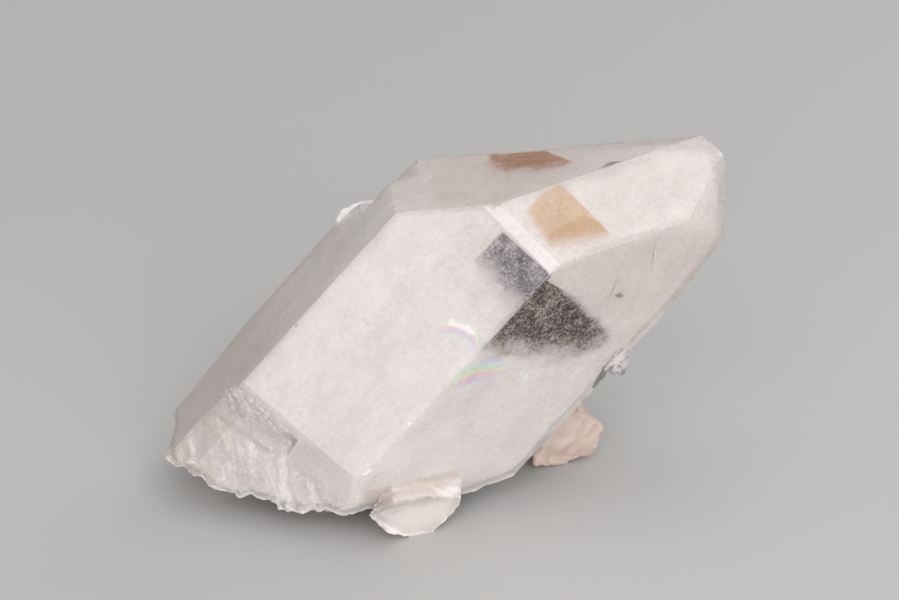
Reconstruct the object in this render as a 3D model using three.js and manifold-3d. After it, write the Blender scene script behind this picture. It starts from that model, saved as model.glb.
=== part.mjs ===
// A quartz point: one crystal broken off at its root, leaning over and resting on the break.
// Lengths are millimetres and angles are degrees. In the crystal's own frame z is the long axis,
// pointing to the tip, and x is square to prism face A, the broad face in front.
import * as THREE from 'three';
import { ConvexGeometry } from 'three/addons/geometries/ConvexGeometry.js';
import { mergeVertices } from 'three/addons/utils/BufferGeometryUtils.js';
import Module from 'manifold-3d';

const wasm = await Module();
wasm.setup();

// How the crystal stands: its long axis leans from the vertical towards a heading, and it is spun
// about that axis. The place is that of its centre above the surface it rests on.
const LEAN = 41.64;
const HEADING = 7.74;
const SPIN = -123.6;
const CENTRE = { x: 7.3, y: 32.8, z: 44.6 };

// Quartz has six prism faces, 60 degrees apart, and a tip face above each one.
const AZIMUTH = { A: 0, C: 60, D: 120, E: 180, F: 240, B: 300 };
const PRISM_POLAR = 90;
const TIP_POLAR = 51.79;
const ROOT_POLAR = 180;
const ROOT_DEPTH = 84;

// Three individuals have grown together with their axes parallel. These are the distances of each
// one's faces from the crystal's centre.
const TIP = { A: 34.1, B: 25.08, C: 46.71, D: 47.33, E: 33.51, F: 24.42 };
const MAIN = { prism: { A: 28.35, B: 25, C: 26.86, D: 29.19, E: 28.35, F: 25.16 }, tip: TIP };
const RIB = { prism: { A: 28.35, B: 29.19, C: 20, D: 24, E: 24, F: 16.6 }, tip: TIP };
const SHOULDER = {
  prism: { A: 20, B: 29.19, C: 18, D: 24, E: 29.4, F: 25.16 },
  tip: { A: 26, B: 19.5, C: 24, D: 24, E: 12, F: 13.6 },
};

// Narrow flats worn or grown across the tip and along three edges.
const WORN = [
  { azimuth: -167, polar: 7.7, distance: 53.8 },
  { azimuth: 115, polar: 27.6, distance: 56.2 },
  { azimuth: 100.8, polar: 78, distance: 38.55 },
  { azimuth: 99.7, polar: 85.1, distance: 33.97 },
  { azimuth: 0, polar: 80, distance: 30.89 },
];

// Slopes that narrow the crystal towards its root.
const TAPER = [
  { azimuth: -75, polar: 92.8, distance: 33.4 },
  { azimuth: -66, polar: 118.5, distance: 58.3 },
  { azimuth: 30, polar: 108, distance: 42.6 },
];

// Near the root face A is etched back to a rough floor. A steep riser leads down to it on the left
// and a long slope on the right, and they meet at this place along y.
const ETCH_FLOOR = 24.9;
const ETCH_MEETING = -0.7;
const STEEP_RISER = { azimuth: 188, polar: 30, distance: -52.6 };
const LONG_SLOPE = { azimuth: 183, polar: 60, distance: -46.1 };
const ETCH_BLOCK = { along: 44, across: 70, deep: 16, cell: 2.4, uneven: 0.7, centre: { y: -4, z: -62 } };
const ETCH_RIDGES = [
  { heading: 12, spacing: 11.3, height: 0.6 },
  { heading: 63, spacing: 7.9, height: 0.4 },
];

// The break under the root: its lowest level, how it rises to its rim, and its ridges.
const BREAK_LOW = 0.9;
const BREAK_BLOCK = { along: 110, across: 90, deep: 60, cell: 2.2, uneven: 1, centre: { x: -15, y: 28 } };
const BREAK_RISE = [
  { x: 0, y: -1, from: -12, slope: 0.36 },
  { x: 1, y: 0, from: -8, slope: 0.2 },
  { x: -1, y: 0, from: 28, slope: 0.2 },
  { x: -1, y: 0, from: 50, slope: 0.5 },
  { x: 0, y: 1, from: 46, slope: 0.4 },
];
const BREAK_RIDGES = [
  { heading: 24, spacing: 9.5, height: 1.5 },
  { heading: 71, spacing: 6.1, height: 1.0 },
];

// Small broken crystals grown into the main one. Each is the convex solid around its corners, x y z
// above the resting surface. The three feet have flat undersides at z = 0.
const FRONT_FOOT = [
  [-8.4, 2.6, 0], [-3.4, 4.9, 0], [-3, 9, 0], [-8, 8, 0],
  [-9.5, 1.2, 1.2], [-1.6, 5.4, 1.5], [-13.3, -1.4, 3.1], [0.5, 5.9, 3.3], [2, 14, 3], [-14, 6, 4],
  [2, 5.9, 5.5], [2.4, 5.2, 8.2], [-16.6, -5.3, 9.2], [2, 14, 9], [-4.6, 0.6, 10.6], [-11.2, -3.1, 11.1],
  [-12, 6, 12],
];
const BACK_FOOT = [
  [19.5, 35, 0], [25.5, 36, 0], [24.5, 42, 0], [18, 44, 0],
  [27.6, 36.5, 0.6], [31, 38, 1.2], [18.4, 33, 1.5], [28, 48, 2], [32.5, 40, 3.6], [14, 38, 12], [20, 34, 6],
  [32.4, 39, 6.2], [33.3, 38.5, 8], [30, 47, 8], [23.7, 36, 9.5], [30, 38, 9.9], [28.2, 38, 11.8],
  [16, 44, 12], [26, 48, 13],
];
const LEFT_FOOT = [
  [-49, 26, 0], [-44, 24.5, 0], [-41, 29, 0], [-43.5, 32.5, 0], [-48, 31.5, 0],
  [-47, 18, 7], [-56, 25, 8], [-36, 22, 8], [-33, 31, 9], [-40, 40, 12], [-53, 36, 13],
];
const CREST = [
  [-24.3, 42.5, 53.4], [-24.1, 42, 55.6], [-23.2, 42, 57], [-22.1, 42, 57.8], [-18.7, 42, 59.4],
  [-15.8, 41, 60.1], [-14, 42, 57], [-17, 50, 54], [-21, 52, 50], [-16, 44, 48], [-21, 40, 47],
];
const GLASSY_CHIP = [
  [38.7, 21.5, 34.6], [37, 20.5, 33.1], [37.6, 20.5, 31], [36.4, 20.5, 28.6], [34.6, 20, 29.4],
  [36, 24, 34], [34, 23, 27.5], [32, 18, 31], [35, 19, 35], [37.4, 24, 31],
];

function facing({ azimuth, polar, distance }) {
  const a = THREE.MathUtils.degToRad(azimuth);
  const p = THREE.MathUtils.degToRad(polar);
  const normal = new THREE.Vector3(Math.sin(p) * Math.cos(a), Math.sin(p) * Math.sin(a), Math.cos(p));
  return new THREE.Plane(normal, -distance);
}

// A closed geometry as a solid that can be joined and cut.
function solidOf(geometry) {
  const bare = geometry.clone();
  bare.deleteAttribute('normal');
  bare.deleteAttribute('uv');
  const merged = mergeVertices(bare, 1e-4);
  return new wasm.Manifold(new wasm.Mesh({
    numProp: 3,
    vertProperties: new Float32Array(merged.attributes.position.array),
    triVerts: new Uint32Array(merged.index.array),
  }));
}

// Where three planes meet, or null where two of them are parallel.
function cornerOf(p, q, r) {
  const qr = new THREE.Vector3().crossVectors(q.normal, r.normal);
  const rp = new THREE.Vector3().crossVectors(r.normal, p.normal);
  const pq = new THREE.Vector3().crossVectors(p.normal, q.normal);
  const spread = p.normal.dot(qr);
  if (Math.abs(spread) < 1e-6) return null;
  return qr.multiplyScalar(-p.constant)
    .addScaledVector(rp, -q.constant)
    .addScaledVector(pq, -r.constant)
    .divideScalar(spread);
}

// The convex solid inside a set of faces. Its corners are where three faces meet inside the rest.
function solidWithin(faces) {
  const planes = faces.map(facing);
  const corners = [];
  for (let i = 0; i < planes.length; i += 1) {
    for (let j = i + 1; j < planes.length; j += 1) {
      for (let k = j + 1; k < planes.length; k += 1) {
        const corner = cornerOf(planes[i], planes[j], planes[k]);
        if (corner && planes.every((plane) => plane.distanceToPoint(corner) < 1e-5)) corners.push(corner);
      }
    }
  }
  return solidOf(new ConvexGeometry(corners));
}

function solidAround(corners) {
  return solidOf(new ConvexGeometry(corners.map(([x, y, z]) => new THREE.Vector3(x, y, z))));
}

// A number from 0 to 1 that looks random but is the same each time for the same place.
function scatter(x, y) {
  const wide = 43758.5453 * Math.sin(12.9898 * x + 78.233 * y);
  return wide - Math.floor(wide);
}

// Sharp-crested ridges: each set is a zigzag wave across its heading.
function ridgeHeight(ridges, x, y) {
  let height = 0;
  for (const ridge of ridges) {
    const heading = THREE.MathUtils.degToRad(ridge.heading);
    const across = (x * Math.cos(heading) + y * Math.sin(heading)) / ridge.spacing;
    const phase = across - Math.floor(across);
    height += ridge.height * (1 - Math.abs(2 * phase - 1));
  }
  return height;
}

// A block below z = 0 with its middle at centreX, centreY. Its top is raised to heightAt(x, y), and
// its facets are made uneven by moving their corners.
function roughBlock({ along, across, deep, cell, uneven }, centreX, centreY, heightAt) {
  const columns = Math.round(along / cell);
  const rows = Math.round(across / cell);
  const block = new THREE.BoxGeometry(along, across, deep, columns, rows, 1);
  block.translate(centreX, centreY, -deep / 2);
  const position = block.attributes.position;
  for (let i = 0; i < position.count; i += 1) {
    if (position.getZ(i) < -deep / 2) continue;
    const x = position.getX(i);
    const y = position.getY(i);
    const inside = Math.abs(x - centreX) < along / 2 - 1 && Math.abs(y - centreY) < across / 2 - 1;
    const shift = inside ? 0.7 * cell : 0;
    position.setX(i, x + shift * (scatter(x, y) - 0.5));
    position.setY(i, y + shift * (scatter(y, x) - 0.5));
    position.setZ(i, heightAt(x, y) + uneven * scatter(x + 1, y));
  }
  return block;
}

function crystalFaces({ prism, tip }) {
  const faces = [{ azimuth: 0, polar: ROOT_POLAR, distance: ROOT_DEPTH }];
  for (const name of Object.keys(AZIMUTH)) {
    faces.push({ azimuth: AZIMUTH[name], polar: PRISM_POLAR, distance: prism[name] });
    faces.push({ azimuth: AZIMUTH[name], polar: TIP_POLAR, distance: tip[name] });
  }
  return faces;
}

function grownTogether() {
  const individuals = [MAIN, RIB, SHOULDER].map((individual) => (
    solidWithin([...crystalFaces(individual), ...WORN, ...TAPER])
  ));
  return individuals[0].add(individuals[1]).add(individuals[2]);
}

// What etching took from face A: everything above the rough floor and below the riser or the slope.
function etchedAway() {
  const { centre } = ETCH_BLOCK;
  const block = roughBlock(ETCH_BLOCK, centre.z, centre.y, (z, y) => ridgeHeight(ETCH_RIDGES, z, y));
  block.rotateY(-Math.PI / 2);
  block.translate(ETCH_FLOOR, 0, 0);
  const aboveFloor = solidOf(block);
  const around = [0, 90, 180, 270].map((azimuth) => ({ azimuth, polar: 90, distance: 60 }));
  const below = { azimuth: 0, polar: ROOT_POLAR, distance: ROOT_DEPTH + 10 };
  const leftOfMeeting = { azimuth: 90, polar: 90, distance: ETCH_MEETING };
  const left = solidWithin([...around, below, STEEP_RISER, leftOfMeeting]);
  const right = solidWithin([...around, below, LONG_SLOPE]);
  return aboveFloor.intersect(left.add(right));
}

function leaning(solid) {
  const pose = new THREE.Matrix4().makeRotationZ(THREE.MathUtils.degToRad(HEADING));
  pose.multiply(new THREE.Matrix4().makeRotationY(THREE.MathUtils.degToRad(LEAN)));
  pose.multiply(new THREE.Matrix4().makeRotationZ(THREE.MathUtils.degToRad(SPIN)));
  pose.setPosition(CENTRE.x, CENTRE.y, CENTRE.z);
  return solid.transform(pose.elements);
}

function breakHeight(x, y) {
  let height = BREAK_LOW + ridgeHeight(BREAK_RIDGES, x, y);
  for (const rise of BREAK_RISE) {
    height += rise.slope * Math.max(0, rise.x * x + rise.y * y - rise.from);
  }
  return height;
}

function belowBreak() {
  const { centre } = BREAK_BLOCK;
  return solidOf(roughBlock(BREAK_BLOCK, centre.x, centre.y, breakHeight));
}

function quartzSolid() {
  let solid = leaning(grownTogether().subtract(etchedAway())).subtract(belowBreak());
  for (const corners of [FRONT_FOOT, BACK_FOOT, LEFT_FOOT, CREST, GLASSY_CHIP]) {
    solid = solid.add(solidAround(corners));
  }
  return solid;
}

function geometryOf(solid) {
  const mesh = solid.getMesh();
  const geometry = new THREE.BufferGeometry();
  geometry.setAttribute('position', new THREE.BufferAttribute(mesh.vertProperties, 3));
  geometry.setIndex(new THREE.BufferAttribute(mesh.triVerts, 1));
  geometry.computeVertexNormals();
  geometry.computeBoundingBox();
  return geometry;
}

const milkyQuartz = new THREE.MeshStandardMaterial({ color: 0xe3dcd8, roughness: 0.12, metalness: 0 });
const quartzPoint = new THREE.Mesh(geometryOf(quartzSolid()), milkyQuartz);
quartzPoint.name = 'quartz_point';

// The origin is under the middle of the whole piece, on the surface it rests on.
const { min, max } = quartzPoint.geometry.boundingBox;
quartzPoint.position.set(-(min.x + max.x) / 2, -(min.y + max.y) / 2, -min.z);

const part = new THREE.Group();
part.add(quartzPoint);

export default part;
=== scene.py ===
import math

import bmesh
import bpy
import numpy as np
from mathutils import Matrix, Vector, noise
from mathutils.geometry import delaunay_2d_cdt


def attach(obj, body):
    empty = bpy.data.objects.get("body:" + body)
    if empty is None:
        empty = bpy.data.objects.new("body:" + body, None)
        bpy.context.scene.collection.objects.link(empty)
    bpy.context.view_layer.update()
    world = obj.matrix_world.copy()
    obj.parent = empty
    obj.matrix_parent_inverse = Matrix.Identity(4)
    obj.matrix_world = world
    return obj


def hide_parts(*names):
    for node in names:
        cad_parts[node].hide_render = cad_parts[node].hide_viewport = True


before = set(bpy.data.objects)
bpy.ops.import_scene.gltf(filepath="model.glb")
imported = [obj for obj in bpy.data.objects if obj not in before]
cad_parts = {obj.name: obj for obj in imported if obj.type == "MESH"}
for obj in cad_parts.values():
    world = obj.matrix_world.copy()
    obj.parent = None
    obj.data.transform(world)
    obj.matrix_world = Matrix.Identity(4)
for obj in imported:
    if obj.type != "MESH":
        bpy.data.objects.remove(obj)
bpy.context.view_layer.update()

MM = 0.001
TINY = 1e-9

# How the crystal stands, as in the solid: lean of its long axis from the vertical, the heading it
# leans towards and its spin, in degrees. Its own frame has z along that axis and x square to face A.
LEAN = 41.64
HEADING = 7.74
SPIN = -123.6

# The flat faces: azimuth and polar angle in the crystal's own frame, in degrees, and distance from
# its centre in millimetres. A to D are prism faces. TA, TB and TE are the tip faces above A, B and E.
PRISM_POLAR = 90
TIP_POLAR = 51.79
ETCH_FLOOR = 24.9
FACES = {
    "A": (0, PRISM_POLAR, 28.35),
    "B": (300, PRISM_POLAR, 25),
    "C": (60, PRISM_POLAR, 26.86),
    "D": (120, PRISM_POLAR, 29.19),
    "TA": (0, TIP_POLAR, 34.1),
    "TB": (300, TIP_POLAR, 25.08),
    "TE": (180, TIP_POLAR, 33.51),
    "etched": (0, PRISM_POLAR, ETCH_FLOOR),
}
MEASURED_FACES = ("A", "C", "TA")

# Where the smooth faces point: azimuth and polar angle in the crystal's own frame, in degrees
CRYSTAL_WAYS = [(azimuth, polar) for azimuth in range(0, 360, 60) for polar in (PRISM_POLAR, TIP_POLAR)]
RUBBED = [(-167, 7.7), (115, 27.6), (100.8, 78), (99.7, 85.1), (0, 80)]
TAPERS = [(-75, 92.8), (-66, 118.5), (30, 108)]
LONG_SLOPE = [(3, 120)]

# Telling the flat faces apart: how closely two directions agree, as a cosine, and areas in mm²
SAME_FACE = 0.9999
SAME_WAY = 0.9998
STRAIGHT_DOWN = -0.999
LEAST_SMOOTH_AREA = 3

# The glassy chip on an edge of face C: its place in the row frame and its reach, in millimetres
CHIP = Vector((37.6, -8.5, 31.8))
CHIP_REACH = 4.5

# The etched floor near the root of face A: the place along the axis where it starts, how far below
# the floor and how far outwards a face of it may lie, and the two ends of its top edge as places
# across and up face A. The step down to it is eased out over a length, which then fades, and only
# to the left of a soft border between two places across.
ETCH_TOP = -38
ETCH_MARGIN = 1.5
ETCH_OUTWARD = 0.45
ETCH_LEFT = (-17.6, -46.2)
ETCH_RIGHT = (-0.7, -43.2)
ETCH_EASE = 7.5
ETCH_FADE = 2
ETCH_BORDER = (-0.5, -6)

# Joining the triangles of one flat face, in millimetres and degrees
WELD_DISTANCE = 0.02
SHORTEST_EDGE = 0.01
FLAT_ANGLE = 0.3

# The fine mesh, in millimetres. The unevenness and the clearance are shares of a cell.
CELL = 0.62
GRID_UNEVEN = 0.12
GRID_CLEARANCE = 0.6
SEED = 7
INSIDE_OUTLINE = 1
JOIN_DISTANCE = 1e-6
SHARP_ANGLE = 24

# Noise: its gain, to reach about -1 and 1, and the step between two patterns
NOISE_GAIN = 1.4
NOISE_STEP = 17.3

# Relief of the break: flat terraces, ridges and grit. Sizes and heights in millimetres.
LOWEST = 0.12
ROUGH_HEIGHT = 0.62
ROUGH_ROUNDS = 1
TERRACE_SIZE = (6, 7, 4)
TERRACE_STEPS = 3.2
TERRACE_FLAT = 0.62
RIDGE_SIZE = 3.4
GRIT_SIZE = 1.5
TERRACE_SHARE = 0.55
RIDGE_SHARE = 0.35
GRIT_SHARE = 0.22
RIM_TOP = 9
RIM_GAIN = 0.7
RIM_HEIGHT = 0.8
RIM_SIZE = 1.7
MEETING_SHARE = 0.35

# Relief of the etched floor: lines and pits drawn out along a streak, and a low swell
STREAK = (0, 0.86, -0.51)
ETCHED_HEIGHT = 0.26
ETCHED_ROUNDS = 9
LINE_SIZE = 1.3
LINE_DRAWN = 0.82
LINE_SHARE = 0.55
PIT_SIZE = 1.5
PIT_DRAWN = 0.5
PIT_RANGE = (0.35, 0.7)
PIT_SHARE = 0.8
SWELL_SIZE = 5
SWELL_SHARE = 0.6

# Relief of the smooth faces: growth lines across the crystal, low hillocks, and nicks on the edges
STRIATION_HEIGHT = 0.03
STRIATION_SIZE = (30, 30, 1.5)
HILLOCK_HEIGHT = 0.06
HILLOCK_SIZE = (8, 8, 13)
HILLOCK_STEPS = 2.5
HILLOCK_FLAT = 0.7
NICK_DEPTH = 0.55
NICK_LENGTH = 2.6
NICK_RANGE = (0.5, 0.85)

# The milky core inside the clear skin: how deep it starts, how much that varies and how far it
# draws back near the tip.
CORE_CELL = 1.3
CORE_DEPTH = 1.5
CORE_UNEVEN = 0.7
CORE_LUMPS = (6, 6, 9)
CORE_TIP = 1.6
CORE_TIP_RANGE = (5, 45)
CORE_ROUNDS = 3

# Camera: as the photograph was taken, worked out from the crystal's edges.
CAMERA_ELEVATION = 24
CAMERA_DISTANCE = 0.65
CAMERA_AIM = (1.31 * MM, -29.52 * MM, 55 * MM)
CAMERA_LENS = 130.1
SENSOR_WIDTH = 36
NEAREST_SEEN = 0.01

# Floor and lights, in metres and watts. A light has its place, width, height, power and colour.
FLOOR_SIZE = 5.0
FLOOR_CELLS = 24
FLOOR_COLOUR = (0.46, 0.454, 0.445, 1)
FLOOR_SHADE = 0.97
FLOOR_ROUGHNESS = 0.7
FLOOR_PATTERN = {"Scale": 9.0, "Detail": 3.0}
WORLD_GREY = (0.475, 0.46, 0.45, 1)
LIGHT_AIM = Vector((0, 0, 0.035))
LIGHTS = {
    "key": ((0.2, -1.3, 0.75), 1.7, 1.3, 22, (0.975, 0.995, 1.03)),
    "fill": ((0.45, -1.2, 0.16), 1.2, 0.26, 3.1, (1, 1, 1)),
    "top": ((0.2, -0.05, 1.3), 1.2, 1.2, 4.5, (1, 1, 1)),
    "back": ((1.05, 1.1, 0.65), 1.3, 1.1, 7, (1, 1, 1)),
}

# Patches: clear windows, stains and fractures, painted light and shade on the large faces and painted
# highlights, each a convex outline on one flat face. A corner has its place across the face, its
# place up the face, and how softly the side after it fades, in mm.
PATCHES = {
    "pale_a": ("A", [(3, 14, 3), (3, 17.2, 0.5), (-20, 17.2, 1), (-20, -4, 6)]),
    "pale_b": ("B", [(15.6, -14, 0.3), (15.6, 30, 1), (-20, 30, 1), (-20, -14, 12)]),
    "shade_b": ("B", [(15.6, -80, 0.3), (15.6, -24, 20), (-20, -24, 1), (-20, -80, 1)]),
    "shade_c": ("C", [(20, 8, 1), (20, 50, 1), (-22, 50, 1), (-22, 8, 9)]),
    "pale_c": ("C", [(8, -40, 5), (18, -12, 5), (10, -6, 8), (-14, -22, 8), (-10, -38, 5)]),
    "shade_tb": ("TB", [(30, -16, 1), (16, 26, 12), (-10, 26, 1), (-10, -16, 1)]),
    "shade_etched": ("etched", [
        (-25, -80, 1), (12, -66, 1), (12, -52, 4), (-16, -54, 4), (-25, -50, 1),
    ]),
    "window_a": ("A", [(15.4, 4.5, 0.5), (15.4, 17.0, 0.25), (1.25, 16.4, 0.8), (0.9, 6, 6)]),
    "window_c": ("C", [
        (-17.6, -8, 7), (9, 2.5, 7), (13.5, 9.5, 3), (9.5, 13.2, 2), (-3.8, 15.5, 0.4), (-17.6, 15.6, 1),
    ]),
    "window_d": ("D", [(-14, 2, 4), (9, -6, 5), (13, 12, 5), (-14, 15, 1)]),
    "window_e": ("TE", [(-13, -6, 4), (7, -9, 5), (9, 3, 2), (-8, 7, 1)]),
    "honey": ("TA", [
        (1.4, 0.9, 0.8), (7.9, -0.5, 2), (12, -1.1, 4), (18.4, 10.8, 0.6), (14.5, 11.5, 0.3),
        (1.8, 11.4, 0.5), (0.7, 6.8, 1),
    ]),
    "honey_fold": ("TA", [
        (7.9, -0.5, 2), (11.4, -0.8, 4), (18.3, 10.5, 0.5), (14.5, 11.4, 0.3), (9.8, 10.3, 0.4),
    ]),
    "orange": ("TB", [
        (-1.5, 4.6, 3), (2.8, 5.5, 5), (6.9, 8.3, 6), (10.2, 16.3, 4), (10, 19.4, 1), (6.9, 22.5, 0.6),
        (-3, 17.8, 1), (-7.9, 5.7, 2),
    ]),
    "dark_speck": ("TB", [(15, 26.7, 0.9), (14.7, 29.2, 0.9), (12.4, 32.6, 0.9), (11, 28.5, 0.9)]),
    "crack": ("C", [(7.5, 26.1, 0.15), (3.1, 30.85, 0.15), (-1.5, 35.7, 0.15), (2.75, 30.7, 0.15)]),
    "crack_low": ("C", [(1.3, 18.6, 0.15), (1.6, 19.4, 0.15), (-0.9, 23.6, 0.15), (-1.1, 22.9, 0.15)]),
    "eye": ("C", [(1.9, 19.6, 0.3), (4.0, 19.6, 0.3), (4.9, 20.9, 0.3), (2.8, 21.1, 0.3)]),
    "frost": ("etched", [
        (-20, -53, 2), (-10, -50, 3), (-2, -46, 3), (-3, -40, 4), (-17, -39, 2), (-21, -48, 1),
    ]),
    "feather": ("A", [(-3.7, -17.4, 0.15), (-7.3, -16.6, 0.15), (-7.9, -17.4, 0.15)]),
    "dark_sliver": ("C", [(17.2, -0.4, 0.3), (19.3, 0.2, 0.3), (16.6, 7.6, 0.3), (15.4, 4.9, 0.3)]),
    "crescent": ("A", [
        (6, -5.6, 0.7), (9, -4.7, 0.7), (13, -3.3, 0.6), (12.2, -1.9, 0.6), (8.6, -2.4, 0.7),
        (5.8, -3.9, 0.6),
    ]),
    "crescent_spot": ("A", [(2.6, -8.2, 0.5), (4.6, -7.6, 0.4), (4.6, -5.8, 0.5), (3, -6.2, 0.5)]),
    "bloom_a": ("A", [(14.8, -6.5, 1.2), (14, -1.5, 1.2), (5, -4.5, 2), (4.5, -9.5, 3)]),
    "bloom_c": ("C", [
        (-17.2, -15, 1.5), (-9, -12.5, 3), (-5.5, -4.2, 2), (-11, -3.8, 1.5), (-17.2, -8, 1),
    ]),
    "glitter": ("C", [(-7.5, -9.5, 3), (1.5, -11.5, 3), (9.5, -6, 3), (1, 0.5, 3), (-7, -4, 2)]),
    "spark": ("C", [
        (-1.2, -7.2, 0.6), (0.5, -5.2, 0.6), (-1, -3.3, 0.6), (-3.2, -4.2, 0.6), (-3.2, -6.2, 0.6),
    ]),
    "flake": ("C", [(-7.3, -8.8, 0.3), (-6.1, -8.6, 0.3), (-4.6, -4.2, 0.3), (-5.7, -4.7, 0.3)]),
    "sliver_one": ("TB", [(0.2, -8.3, 0.25), (0.2, -6.1, 0.25), (-1.6, -6, 0.25), (-1.6, -9.2, 0.25)]),
    "sliver_two": ("C", [(8.8, 15, 0.2), (10.9, 15.6, 0.2), (12.4, 17.2, 0.2), (10, 16.7, 0.2)]),
    "sliver_three": ("TA", [(21.4, 19.8, 0.2), (22.4, 19.9, 0.2), (23.5, 21.7, 0.2), (22.4, 21.8, 0.2)]),
}

# How a patch's field becomes a mask: how far below its face it ends and how sharply, how much its
# outline wavers, and the values between which it fades in.
PATCH_DEPTH = 0.9
PATCH_DEPTH_SLOPE = 5.0
PATCH_LUMPS = 1.5
PATCH_GRAIN = 0.6
PATCH_MIDDLE = 1.05
PATCH_WAVER = 2.4
PATCH_FADE = (-0.1, 1.1)

# Patterns in the quartz: size of the lumps in millimetres, detail, roughness and distortion
PATTERNS = {
    "grain": (0.9, 5, 0.65, 0),
    "fine": (0.35, 2, 0.5, 0),
    "clumps": (3.2, 3, 0.6, 0),
    "clouds": ((11, 11, 15), 5, 0.62, 0.3),
    "wisps": ((3, 3, 14), 5, 0.65, 0.6),
    "dust": (0.5, 4, 0.6, 0),
    "hollows": (1.6, 3, 0.5, 0.4),
    "growth": ((20, 20, 0.7), 2, 0.5, 0),
}

# Patterns drawn out: along which direction, by how much, and then size, detail and roughness
SCRATCH = (0.3, 0.5, -0.81)
DRAWN_PATTERNS = {
    "streaks": (STREAK, 0.85, 0.8, 4, 0.6),
    "scratches": (SCRATCH, 0.93, 0.55, 2, 0.5),
}

# The milky body: two tones of cloud, then layers over them. A layer has its pattern, the value where
# it starts, the value where it is full, its colour and its strength.
MILK_DIM = (0.945, 0.89, 0.865, 1)
MILK_BRIGHT = (0.975, 0.93, 0.905, 1)
CLOUD_RANGE = (0.3, 0.7)
BODY_LAYERS = [
    ("wisps", 0.50, 0.75, (0.995, 0.975, 0.96, 1), 0.8),
    ("wisps", 0.46, 0.28, (0.86, 0.815, 0.79, 1), 0.6),
    ("grain", 0.54, 0.9, (0.68, 0.63, 0.62, 1), 1.0),
    ("scratches", 0.64, 0.72, (1.0, 0.985, 0.97, 1), 0.7),
    ("fine", 0.73, 0.78, (1.0, 0.98, 0.96, 1), 1.0),
]
TIP_RANGE = (-10, 40)
TIP_GREY = (0.80, 0.74, 0.71, 1)
TIP_STRENGTH = 0.15

# The etched floor: greyer, with light streaks and flecks, and frosting where it starts
ETCHED_GREY = (0.78, 0.735, 0.725, 1)
ETCHED_LIGHT = (0.95, 0.925, 0.91, 1)
ETCHED_STREAKS = (0.47, 0.68)
ETCHED_CLUMPS = (0.36, 0.6)
ETCHED_FLECKS = (0.56, 0.66)
ETCHED_FLECK_STRENGTH = 0.8
FROST_WHITE = (1.0, 0.985, 0.97, 1)
FROST_RANGE = (0.52, 0.60)
FROST_WAVER = 1.0
FROST_STRENGTH = 0.85

# Painted light and shade over the large faces, lighter where the light falls and darker where it
# doesn't, with slow changes of the quartz's own tone: patch, strength and colour
LIGHT_AND_SHADE_WAVER = 0.3
LIGHT_AND_SHADE = [
    ("pale_a", 0.5, (1.0, 0.975, 0.965, 1)),
    ("pale_b", 0.95, (1.0, 0.98, 0.965, 1)),
    ("shade_b", 0.5, (0.62, 0.54, 0.50, 1)),
    ("shade_c", 0.22, (0.74, 0.64, 0.575, 1)),
    ("pale_c", 0.45, (1.0, 0.98, 0.965, 1)),
    ("shade_tb", 0.22, (0.76, 0.65, 0.58, 1)),
    ("shade_etched", 0.5, (0.70, 0.60, 0.53, 1)),
]

# Clear windows, painted dark under grains of milk: the dark is painted in, in place of what would be
# seen through the clear quartz. Each dark has the range of the milk, its darkest and its milkiest
# colour and the colour of its specks.
MILK_DUST = 0.55
MILK_CLUMPS = 0.45
SPECK_RANGE = (0.60, 0.70)
SPECK_STRENGTH = 0.5
WINDOW_DARKS = {
    "brown": ((0.41, 0.66), (0.03, 0.02, 0.017, 1), (0.46, 0.38, 0.34, 1), (0.72, 0.66, 0.62, 1)),
    "grey": ((0.38, 0.72), (0.14, 0.125, 0.135, 1), (0.58, 0.54, 0.54, 1), (0.84, 0.80, 0.79, 1)),
}

# The windows, in the order they are laid: patch, how uneven its edge is, which painted dark it takes,
# and strength
WINDOWS = [
    ("window_a", 0.5, "grey", 1.0),
    ("window_c", 0.5, "brown", 1.0),
    ("window_d", 0.9, "grey", 0.6),
    ("window_e", 0.9, "grey", 0.6),
]

# Stains and fractures, in the order they are laid: patch, strength, colour and how uneven its edge is.
# The white crescent, crescent_spot, flake and slivers are painted highlights where fractures catch the
# light.
STAINS_AND_HIGHLIGHTS = [
    ("honey", 0.72, (0.70, 0.44, 0.20, 1), 0.15),
    ("honey_fold", 0.5, (0.60, 0.34, 0.14, 1), 0.1),
    ("orange", 0.95, (0.46, 0.18, 0.05, 1), 0.25),
    ("dark_speck", 0.9, (0.10, 0.09, 0.09, 1), 0.4),
    ("crack", 0.85, (0.16, 0.13, 0.12, 1), 0.6),
    ("crack_low", 0.45, (0.20, 0.17, 0.16, 1), 0.8),
    ("eye", 0.85, (0.22, 0.19, 0.20, 1), 0.3),
    ("feather", 0.35, (0.35, 0.33, 0.33, 1), 0.4),
    ("dark_sliver", 0.8, (0.12, 0.12, 0.14, 1), 0.5),
    ("crescent", 0.8, (1, 1, 1, 1), 0.9),
    ("crescent_spot", 0.7, (1, 1, 1, 1), 0.9),
    ("flake", 1.0, (1, 0.98, 0.94, 1), 0.5),
    ("sliver_one", 1.0, (1, 0.98, 0.94, 1), 0.3),
    ("sliver_two", 1.0, (1, 0.96, 0.86, 1), 0.3),
    ("sliver_three", 1.0, (1, 0.98, 0.94, 1), 0.3),
]
MOTTLE_GAIN = 1.3
MOTTLE_LEAST = 0.35

# Rainbow blooms of healed fractures: patch, face and place of the arcs' centre on it, radius in
# millimetres, turns of hue and strength. The rest holds for both blooms.
BLOOMS = [
    ("bloom_a", ("A", 10.9, -9.6), 6.8, 2.4, 0.8),
    ("bloom_c", ("C", -5.5, -17.5), 13.5, 2.6, 1.0),
]
BLOOM_EDGE = 0.5
BLOOM_WAVER = {"clumps": 0.2, "grain": 0.12}
BLOOM_SHIFT = -0.16
BLOOM_FIRST_HUE = 0.9
BLOOM_INNER = (0.4, 0.85)
BLOOM_OUTER = (1.35, 1.1)
BLOOM_GAPS = (0.34, 0.54)
BLOOM_SATURATION = 0.33

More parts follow.
